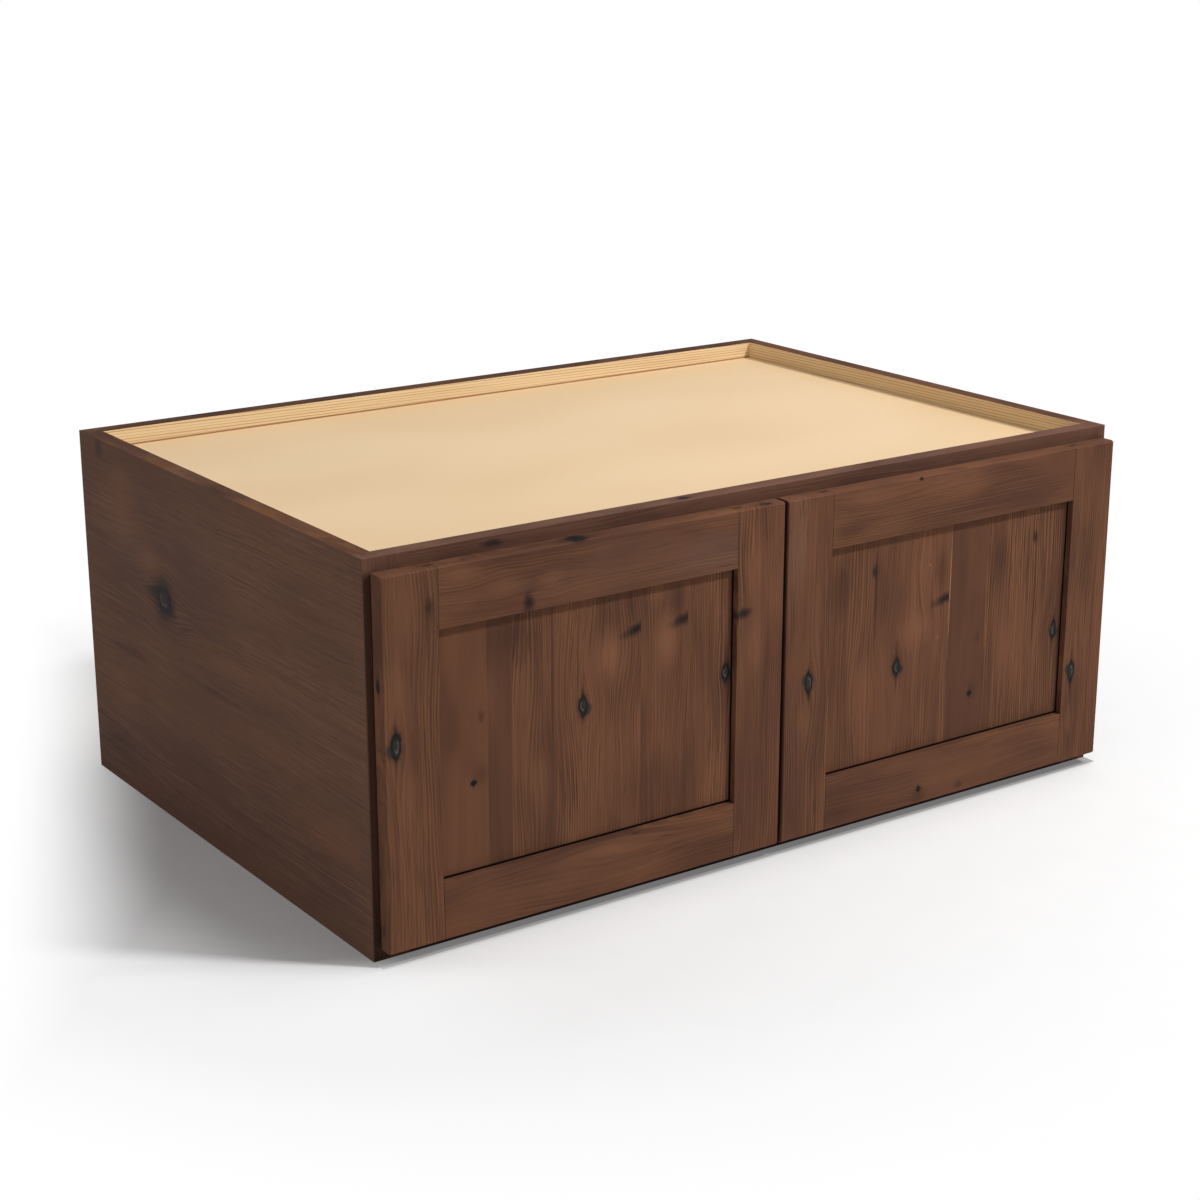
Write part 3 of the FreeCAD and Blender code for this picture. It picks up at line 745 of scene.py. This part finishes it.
def add_streaks(board, colour, stain, figure, lining):
    """Gold and dark streaks, fine lines and pores along the grain, as strong as the figure."""
    graph = board.graph
    gold = graph.step(board.flowing(GOLD_STREAKS), 0.52, 0.62, 0.0, 0.55)
    colour = graph.mix(graph.math("MULTIPLY", gold, figure), colour, stain.gold)
    dark = graph.step(board.flowing(DARK_STREAKS), 0.56, 0.63)
    colour = graph.mix(graph.math("MULTIPLY", dark, figure), colour, stain.dark)
    lines = graph.math("MULTIPLY", board.fine_lines(), figure)
    colour = graph.mix(graph.math("MULTIPLY", lines, lining), colour, stain.gold)
    pores = graph.step(board.flowing(PORES), 0.59, 0.66, 0.0, 0.6)
    return graph.mix(graph.math("MULTIPLY", pores, figure), colour, stain.pore)


def stained_colour(board, stain, contrast, cloud_pattern=STAIN_CLOUD, lining=FINE_LINES):
    """Brown stain over alder: cloudy tone, streaks along the grain, pores and marks."""
    graph = board.graph
    shade = board.flowing(cloud_pattern)
    figure = graph.step(board.flowing(FIGURE_ZONES), 0.38, 0.6, 0.45 * contrast, contrast)
    if board.strips:
        figure = graph.math("MULTIPLY", figure, board.by_strip(strip.figure for strip in board.strips))
        light = board.by_strip(strip.light for strip in board.strips)
        tone = graph.math("MULTIPLY_ADD", light, STRIP_TONE, -0.5 * STRIP_TONE)
        shade = graph.math("ADD", shade, tone)
    colour = graph.mix(graph.step(shade, 0.35, 0.65), stain.dark, stain.warm)
    bands = graph.step(board.flowing(BANDS), 0.38, 0.62, 0.1, 0.5)
    colour = graph.mix(bands, colour, stain.middle)
    for glow in board.marks.glows:
        amount = patch_amount(board, glow)
        colour = graph.mix(amount, colour, stain.glow)
        figure = graph.math("MULTIPLY", figure, graph.math("MULTIPLY_ADD", amount, -GLOW_CALM, 1.0))
    colour = add_patches(board, colour, HAZE, board.marks.hazes)
    colour = add_streaks(board, colour, stain, figure, lining)
    colour = add_patches(board, colour, stain.pore, board.marks.smudges)
    colour = add_patches(board, colour, KNOT_EDGE, board.marks.smears)
    colour = add_patches(board, colour, SCUFF, board.marks.scuffs)
    for knot in board.marks.knots:
        colour = add_knot(board, colour, stain, knot)
    return colour


def finish_stained(board, colour):
    """A satin coat that the open grain shows through."""
    graph = board.graph
    fine = board.flowing(OPEN_GRAIN)
    return graph.surface(Base_Color=colour, Roughness=graph.step(fine, 0.3, 0.7, 0.58, 0.74),
                         Specular_IOR_Level=0.03, Normal=graph.bump(fine, 0.0003, 0.2))


def finish_clear(board, colour):
    """A clear satin coat with faint flecks."""
    graph = board.graph
    flecks = board.straight(COAT_FLECKS)
    return graph.surface(Base_Color=colour, Roughness=graph.step(flecks, 0.3, 0.7, 0.45, 0.58),
                         Specular_IOR_Level=0.15, Normal=graph.bump(flecks, 0.0002, 0.12))


def marks_of(name):
    return MARKS.get(name, Marks())


def frame_rail_wood(name):
    """A frame rail stained all over."""
    board = Board(new_material(name + "_wood"), "x", "z", SEEDS[name], marks_of(name))
    return finish_stained(board, stained_colour(board, FRAME_STAIN, RAIL_FIGURE))


def door_rail_wood(name, seed):
    """A door rail with a thin dark joint against the stile at each end."""
    graph = new_material(name + "_wood")
    board = Board(graph, "x", "z", seed, marks_of(name))
    middle_out = graph.math("ABSOLUTE", board.along)
    to_end = graph.math("MINIMUM", graph.math("SUBTRACT", middle_out, RAIL_ENDS[0]),
                        graph.math("SUBTRACT", RAIL_ENDS[1], middle_out))
    colour = stained_colour(board, DOOR_STAIN, RAIL_FIGURE)
    return finish_stained(board, graph.mix(graph.cover(to_end, JOINT_GLAZE), colour, GLAZE_AND_SHADE_BROWN))


def door_stile_wood(name, seed, edge_shade):
    """A door stile with painted shade on its edge: dark in the gap between the doors and on the outer
    edge.
    """
    graph = new_material(name + "_wood")
    board = Board(graph, "z", "x", seed, marks_of(name))
    colour = stained_colour(board, DOOR_STAIN, STILE_FIGURE)
    # Painted shade on the stile's edge faces.
    painted_edge_shade = graph.cover(graph.math("ABSOLUTE", board.across), edge_shade)
    return finish_stained(board, graph.mix(painted_edge_shade, colour, GLAZE_AND_SHADE_BROWN))


def door_panel_wood(name, seed, side):
    """A stained panel of glued strips, with a painted shade line round its edge where it meets the frame.
    """
    graph = new_material(name + "_wood")
    board = Board(graph, "z", "x", seed, marks_of(name), PANEL_STRIPS[side])
    left, right = sorted(SIDES[side] * end for end in RAIL_ENDS)
    bottom, top = PANEL_LEVELS
    from_sides = graph.math("MINIMUM", graph.math("SUBTRACT", board.across, left),
                            graph.math("SUBTRACT", right, board.across))
    from_ends = graph.math("MINIMUM", graph.math("SUBTRACT", board.along, bottom),
                           graph.math("SUBTRACT", top, board.along))
    colour = stained_colour(board, DOOR_STAIN, PANEL_FIGURE)
    # Painted shade: a near-black line round the panel's edge, standing for the shade in the groove.
    colour = graph.mix(graph.cover(from_sides, PANEL_SIDE_SHADE), colour, PAINTED_SHADE_BLACK)
    colour = graph.mix(graph.cover(from_ends, PANEL_END_SHADE), colour, PAINTED_SHADE_BLACK)
    return finish_stained(board, colour)


def maple_wood(name, grain, across):
    """Printed maple: nearly even, with faint fine flecks both ways."""
    graph = new_material(name + "_wood")
    board = Board(graph, grain, across, SEEDS[name])
    cloud = graph.step(board.flowing(MAPLE_CLOUD), 0.3, 0.7)
    flecks = graph.step(board.straight(MAPLE_FLECKS), 0.55, 0.75, 0.0, 0.12)
    threads = graph.step(board.straight(MAPLE_THREADS), 0.55, 0.75, 0.0, 0.1)
    colour = graph.mix(cloud, MAPLE_PALE, MAPLE_WARM)
    colour = graph.mix(flecks, colour, MAPLE_FLECK)
    return finish_clear(board, graph.mix(threads, colour, MAPLE_FLECK))


def pine_colour(board):
    """Clear-coated softwood with close, nearly straight growth lines."""
    graph = board.graph
    slanted = graph.math("MULTIPLY_ADD", board.along, PINE_SLANT_ALONG, board.across)
    slanted = graph.math("MULTIPLY_ADD", board.depth, PINE_SLANT_DEPTH, slanted)
    drift = graph.math("MULTIPLY", board.straight(PINE_DRIFT), PINE_LINE_SWAY)
    phase = graph.math("MULTIPLY_ADD", slanted, PINE_LINE_RATE, drift)
    lines = graph.step(graph.math("SINE", phase), 0.4, 1.0)
    strength = graph.step(board.straight(PINE_FADING), 0.35, 0.6, 0.45, 1.0)
    colour = graph.mix(graph.step(board.flowing(PINE_CLOUD), 0.3, 0.7), PINE_PALE, PINE_WARM)
    return graph.mix(graph.math("MULTIPLY", lines, strength), colour, PINE_LINE)


def side_face(board):
    """The outside of a cabinet side, calmer than the doors, and where that face is."""
    face = board.graph.cover(board.graph.math("ABSOLUTE", board.depth), OUTER_SKIN)
    return stained_colour(board, SIDE_STAIN, SIDE_FIGURE, BROAD_CLOUD, CALM_LINES), face


def side_wood(name):
    """A cabinet side: stained outside and on its edges, clear-coated pale wood inside."""
    graph = new_material(name + "_wood")
    board = Board(graph, "y", "z", SEEDS[name], marks_of(name), glow_push=0.0)
    face_colour, face = side_face(board)
    rim = Board(graph, "y", "z", SEEDS[name] + RIM_SEED_STEP, marks_of(name + "_rim"))
    stained = graph.mix(face, stained_colour(rim, RIM_STAIN, RIM_FIGURE), face_colour)
    outside = graph.cover(graph.math("ABSOLUTE", board.depth), STAINED_SIDE)
    return finish_stained(board, graph.mix(outside, pine_colour(board), stained))


def frame_stile_wood(name, side_panel):
    """A frame stile, darker with painted shade in the strip beside the door, whose outer edge carries on
    the figure of the cabinet side."""
    graph = new_material(name + "_wood")
    board = Board(graph, "z", "x", SEEDS[name])
    # Painted shade in the frame's strip beside the door, below the door's top.
    painted_shade_beside_door = graph.math("MULTIPLY", graph.cover(board.along, FRAME_SHADE_BELOW_DOOR_TOP),
                             graph.cover(graph.math("ABSOLUTE", board.across), FRAME_SHADE_BESIDE_DOOR))
    front_colour = graph.mix(painted_shade_beside_door, stained_colour(board, FRAME_STAIN, RAIL_FIGURE), GLAZE_AND_SHADE_BROWN)
    face_colour, face = side_face(Board(graph, "y", "z", SEEDS[side_panel]))
    return finish_stained(board, graph.mix(face, front_colour, face_colour))


def hanging_rail_wood(name, seam, rim):
    """A hanging rail of clear-coated pale wood, with a dark seam where it meets the panel, whose
    outer rim is stained with the sides."""
    graph = new_material(name + "_wood")
    board = Board(graph, "x", "z", SEEDS[name])
    from_seam = graph.math("ABSOLUTE", graph.math("SUBTRACT", board.across, seam))
    inner_face = graph.math("LESS_THAN", board.depth, HANGING_RAIL_MIDDLE)
    seam_line = graph.math("MULTIPLY", graph.cover(from_seam, SEAM_GLAZE), inner_face)
    pale = graph.mix(seam_line, pine_colour(board), PINE_SEAM)
    stained = stained_colour(board, RIM_STAIN, HANGING_RIM_FIGURE)
    rim_colour = graph.mix(HANGING_RIM_GLAZE, stained, GLAZE_AND_SHADE_BROWN)
    return finish_stained(board, graph.mix(graph.cover(board.across, rim), pale, rim_colour))


def nickel(name):
    """Nickel-plated pressed steel with faint rolling lines and cloudy wear."""
    graph = new_material(name)
    lines = graph.speckle(NICKEL_LINES, detail=3.0)
    cloud = graph.speckle(NICKEL_CLOUD, detail=3.0)
    colour = graph.mix(graph.step(cloud, 0.35, 0.65), NICKEL_BRIGHT, NICKEL_DULL)
    rough = graph.math("ADD", graph.step(lines, 0.35, 0.65, 0.2, 0.32),
                       graph.step(cloud, 0.4, 0.7, 0.0, 0.1))
    return graph.surface(Base_Color=colour, Metallic=1.0, Roughness=rough,
                         Normal=graph.bump(lines, 0.0001, 0.1))


def soft_bumper(name):
    """Clear soft plastic of the door bumpers, slightly clouded."""
    graph = new_material(name)
    cloud = graph.speckle(BUMPER_CLOUD, detail=3.0)
    colour = graph.mix(graph.step(cloud, 0.3, 0.7), BUMPER_CLEAR, BUMPER_CLOUDED)
    return graph.surface(Base_Color=colour, Roughness=graph.step(cloud, 0.3, 0.7, 0.25, 0.4),
                         Transmission_Weight=0.35, IOR=1.45, Normal=graph.bump(cloud, 0.0002, 0.1))


def assign(name, material):
    for slot in NODES[name].material_slots:
        slot.material = material


def finish_frame():
    """The face frame."""
    for side in SIDES:
        name = f"frame_{side}_stile"
        assign(name, frame_stile_wood(name, f"{side}_side_panel"))
    for name in ("frame_top_rail", "frame_bottom_rail"):
        assign(name, frame_rail_wood(name))


def finish_doors():
    """The boards of both doors."""
    seed = DOOR_SEED
    for side in SIDES:
        for part, edge_shade in STILE_EDGE_SHADES.items():
            name = f"{side}_door_{part}"
            seed += DOOR_SEED_STEP
            assign(name, door_stile_wood(name, seed, edge_shade))
        for part in ("top_rail", "bottom_rail"):
            name = f"{side}_door_{part}"
            seed += DOOR_SEED_STEP
            assign(name, door_rail_wood(name, seed))
        name = f"{side}_door_panel"
        seed += DOOR_SEED_STEP
        assign(name, door_panel_wood(name, seed, side))


def finish_carcass():
    """The sides, the panels and the hanging rails."""
    for name in ("left_side_panel", "right_side_panel"):
        assign(name, side_wood(name))
    for name, across in (("top_panel", "y"), ("bottom_panel", "y"), ("back_panel", "z")):
        assign(name, maple_wood(name, "x", across))
    rails = (("top_hanging_rail", CABINET_HEIGHT - RECESS, TOP_RIM),
             ("bottom_hanging_rail", RECESS, BOTTOM_RIM))
    for name, seam, rim in rails:
        assign(name, hanging_rail_wood(name, seam, rim))


def finish_hinges():
    """The hinges and bumpers; returns the metal, which the screws share."""
    metal = nickel("hinge_nickel")
    plastic = soft_bumper("bumper_plastic")
    for side in SIDES:
        for level in HINGE_LEVELS:
            for part in ("cup", "arm", "base"):
                assign(f"{side}_{level}_hinge_{part}", metal)
        assign(f"{side}_hinge_pins", metal)
        assign(f"{side}_door_bumpers", plastic)
    return metal


def cross_outline(arm, half_width):
    """The corners of a cross recess, going round."""
    corner = [(arm, -half_width), (arm, half_width), (half_width, half_width)]
    outline = []
    for turn in range(4):
        for x, y in corner:
            for _ in range(turn):
                x, y = -y, x
            outline.append((x, y))
    return outline


def add_ring(shape, radius, height):
    """A ring of vertices round the axis of a screw."""
    angles = [2.0 * math.pi * step / SCREW_SEGMENTS for step in range(SCREW_SEGMENTS)]
    corners = [(radius * math.cos(angle), radius * math.sin(angle), height) for angle in angles]
    return [shape.verts.new(corner) for corner in corners]


def join_rings(shape, lower, upper):
    for index, vertex in enumerate(lower):
        following = (index + 1) % len(lower)
        shape.faces.new((vertex, lower[following], upper[following], upper[index]))


def screw_profile(screw):
    """The radius and height of each ring of a pan-head screw, from above its tip to its top."""
    shank = SHANK_RADIUS
    head = screw.head_radius
    return ((0.55 * shank, 0.75 * shank - screw.shank_length),
            (shank, 2.0 * shank - screw.shank_length),
            (shank, 0.0),
            (head, 0.0),
            (head, 0.35 * screw.head_height),
            (0.9 * head, 0.75 * screw.head_height),
            (0.62 * head, screw.head_height))


def add_screw(shape, matrix, screw):
    """A pan-head screw with a cross recess; its head stands on the plane through the origin."""
    made = bmesh.new()
    tip = made.verts.new((0.0, 0.0, -screw.shank_length))
    rings = [add_ring(made, radius, height) for radius, height in screw_profile(screw)]
    for index, vertex in enumerate(rings[0]):
        made.faces.new((tip, rings[0][(index + 1) % SCREW_SEGMENTS], vertex))
    for lower, upper in zip(rings, rings[1:]):
        join_rings(made, lower, upper)
    outline = cross_outline(0.5 * screw.head_radius, 0.12 * screw.head_radius)
    mouth = [made.verts.new((x, y, screw.head_height)) for x, y in outline]
    bottom = [made.verts.new((0.75 * x, 0.75 * y, 0.3 * screw.head_height)) for x, y in outline]
    join_rings(made, mouth, bottom)
    made.faces.new(bottom)
    rim = [made.edges.get((vertex, loop[index - 1])) or made.edges.new((vertex, loop[index - 1]))
           for loop in (rings[-1], mouth) for index, vertex in enumerate(loop)]
    bmesh.ops.triangle_fill(made, use_beauty=True, use_dissolve=False, edges=rim)
    bmesh.ops.recalc_face_normals(made, faces=made.faces)
    bmesh.ops.transform(made, matrix=matrix, verts=made.verts)
    mesh = bpy.data.meshes.new("screw")
    made.to_mesh(mesh)
    made.free()
    shape.from_mesh(mesh)
    bpy.data.meshes.remove(mesh)


def make_screws(name, body, places, direction, material, screw):
    """Screws whose heads face one direction, as one piece that moves with a body."""
    shape = bmesh.new()
    turn = Vector(direction).to_track_quat("Z", "Y").to_matrix().to_4x4()
    for index, place in enumerate(places):
        angle = math.radians(FIRST_RECESS_TURN + NEXT_RECESS_TURN * index)
        recess = Matrix.Rotation(angle, 4, "Z")
        add_screw(shape, Matrix.Scale(MM, 4) @ Matrix.Translation(place) @ turn @ recess, screw)
    mesh = bpy.data.meshes.new(name)
    shape.to_mesh(mesh)
    shape.free()
    mesh.materials.append(material)
    screws = bpy.data.objects.new(name, mesh)
    bpy.context.collection.objects.link(screws)
    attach(screws, body)


def make_hinge_screws(material):
    """Two screws in each cup flange, two in each base plate and one in each arm."""
    backward = (0.0, 1.0, 0.0)
    for side, sign in SIDES.items():
        inward = (-sign, 0.0, 0.0)
        for level, height in HINGE_LEVELS.items():
            name = f"{side}_{level}_hinge"
            cups = [(sign * CUP_SCREW_X, CUP_FLANGE_Y, height + offset) for offset in CUP_SCREW_OFFSETS]
            bases = [(sign * BASE_FACE_X, MOUNT_SCREW_Y, height + offset) for offset in BASE_SCREW_OFFSETS]
            arms = [(sign * ARM_FACE_X, MOUNT_SCREW_Y, height)]
            make_screws(name + "_cup_screws", side + "_door", cups, backward, material, CUP_SCREW)
            make_screws(name + "_base_screws", "cabinet", bases, inward, material, BASE_SCREW)
            make_screws(name + "_arm_screw", "cabinet", arms, inward, material, ARM_SCREW)


def place_camera():
    """The camera of the photograph."""
    azimuth = math.radians(CAMERA_AZIMUTH)
    elevation = math.radians(CAMERA_ELEVATION)
    forward = Vector((math.sin(azimuth) * math.cos(elevation),
                      math.cos(azimuth) * math.cos(elevation),
                      -math.sin(elevation)))
    data = bpy.data.cameras.new("photo_camera")
    data.lens = CAMERA_LENS
    data.sensor_width = CAMERA_SENSOR
    camera = bpy.data.objects.new("photo_camera", data)
    camera.location = Vector(CAMERA_PLACE) * MM
    camera.rotation_euler = forward.to_track_quat("-Z", "Y").to_euler()
    bpy.context.collection.objects.link(camera)
    bpy.context.scene.camera = camera


def seen_directly(graph):
    """1 for rays from the camera, a mirror or clear plastic, which see the plain backdrop."""
    path = graph.node("ShaderNodeLightPath")
    seen = graph.math("MAXIMUM", path.outputs["Is Camera Ray"], path.outputs["Is Glossy Ray"])
    return graph.math("MAXIMUM", seen, path.outputs["Is Transmission Ray"])


def floor_paper():
    """Pale paper that turns white away from the cabinet, with painted light over the shadow towards the
    left and before the front left corner, and a strip of painted shadow under the doors.
    """
    graph = new_material("floor_paper")
    x, y, _ = graph.place()
    place = graph.combine(x, y, 0.0)
    seen = seen_directly(graph)
    paper = graph.node("ShaderNodeBsdfDiffuse")
    graph.feed(paper.inputs["Color"], graph.mix(graph.speckle(PAPER_FIBRE), PAPER_SHADE, PAPER_LIGHT))
    # Painted shadow: a flat emission seen under the doors' front, in place of the floor's own shading.
    grey = graph.node("ShaderNodeEmission")
    graph.feed(grey.inputs["Strength"], SHADOW_UNDER_DOORS_LEVEL)
    within = graph.math("LESS_THAN", graph.math("ABSOLUTE", x), OUTER_FACE)
    before = graph.math("MULTIPLY", graph.cover(y, SHADOW_UNDER_DOORS), graph.math("LESS_THAN", y, 0.0))
    strip = graph.math("MULTIPLY", graph.math("MULTIPLY", within, before), seen)
    shaded = graph.mix_shaders(strip, paper, grey)
    # Painted light: white laid over the floor's shading, cutting the cabinet's cast shadow short towards
    # the left and before the front left corner.
    leftward = graph.vector("DOT_PRODUCT", place, LEFT_DIRECTION)
    forward = graph.vector("DOT_PRODUCT", place, CORNER_DIRECTION)
    far = graph.math("MAXIMUM", graph.cover(graph.vector("LENGTH", place), FAR_WHITE),
                     graph.cover(leftward, LEFT_PAINTED_LIGHT))
    corner = graph.math("MULTIPLY", graph.cover(forward, CORNER_PAINTED_LIGHT),
                        graph.cover(leftward, CORNER_PAINTED_LIGHT_SPREAD))
    white_part = graph.math("MULTIPLY", graph.math("MAXIMUM", far, corner), seen)
    white = graph.node("ShaderNodeEmission")
    return graph.end("ShaderNodeOutputMaterial", graph.mix_shaders(white_part, shaded, white))


def make_floor():
    """A round floor just under the cabinet."""
    mesh = bpy.data.meshes.new("floor")
    shape = bmesh.new()
    bmesh.ops.create_circle(shape, cap_ends=True, segments=FLOOR_SEGMENTS, radius=FLOOR_RADIUS)
    shape.to_mesh(mesh)
    shape.free()
    mesh.materials.append(floor_paper())
    floor = bpy.data.objects.new("floor", mesh)
    floor.location.z = -FLOOR_DROP
    bpy.context.collection.objects.link(floor)


def light_world():
    """White where the world is seen directly, and a plain soft light on everything else."""
    world = bpy.data.worlds.new("studio")
    bpy.context.scene.world = world
    graph = Graph(world)
    background = graph.node("ShaderNodeBackground")
    level = graph.step(seen_directly(graph), 0.0, 1.0, WORLD_LIGHT, 1.0)
    graph.feed(background.inputs["Color"], WHITE)
    graph.feed(background.inputs["Strength"], level)
    graph.end("ShaderNodeOutputWorld", background)


def add_lamp(name, lamp):
    """A round lamp that points at its target."""
    data = bpy.data.lights.new(name, "AREA")
    data.shape = "DISK"
    data.size = lamp.diameter
    data.energy = lamp.power
    made = bpy.data.objects.new(name, data)
    made.location = lamp.place
    aim = Vector(lamp.target) - Vector(lamp.place)
    made.rotation_euler = aim.to_track_quat("-Z", "Y").to_euler()
    bpy.context.collection.objects.link(made)


def light_scene():
    """The view, the world and the lamps."""
    bpy.context.scene.view_settings.view_transform = "Standard"
    light_world()
    for name, lamp in LAMPS.items():
        add_lamp(name, lamp)


finish_frame()
finish_doors()
finish_carcass()
make_hinge_screws(finish_hinges())
place_camera()
make_floor()
light_scene()
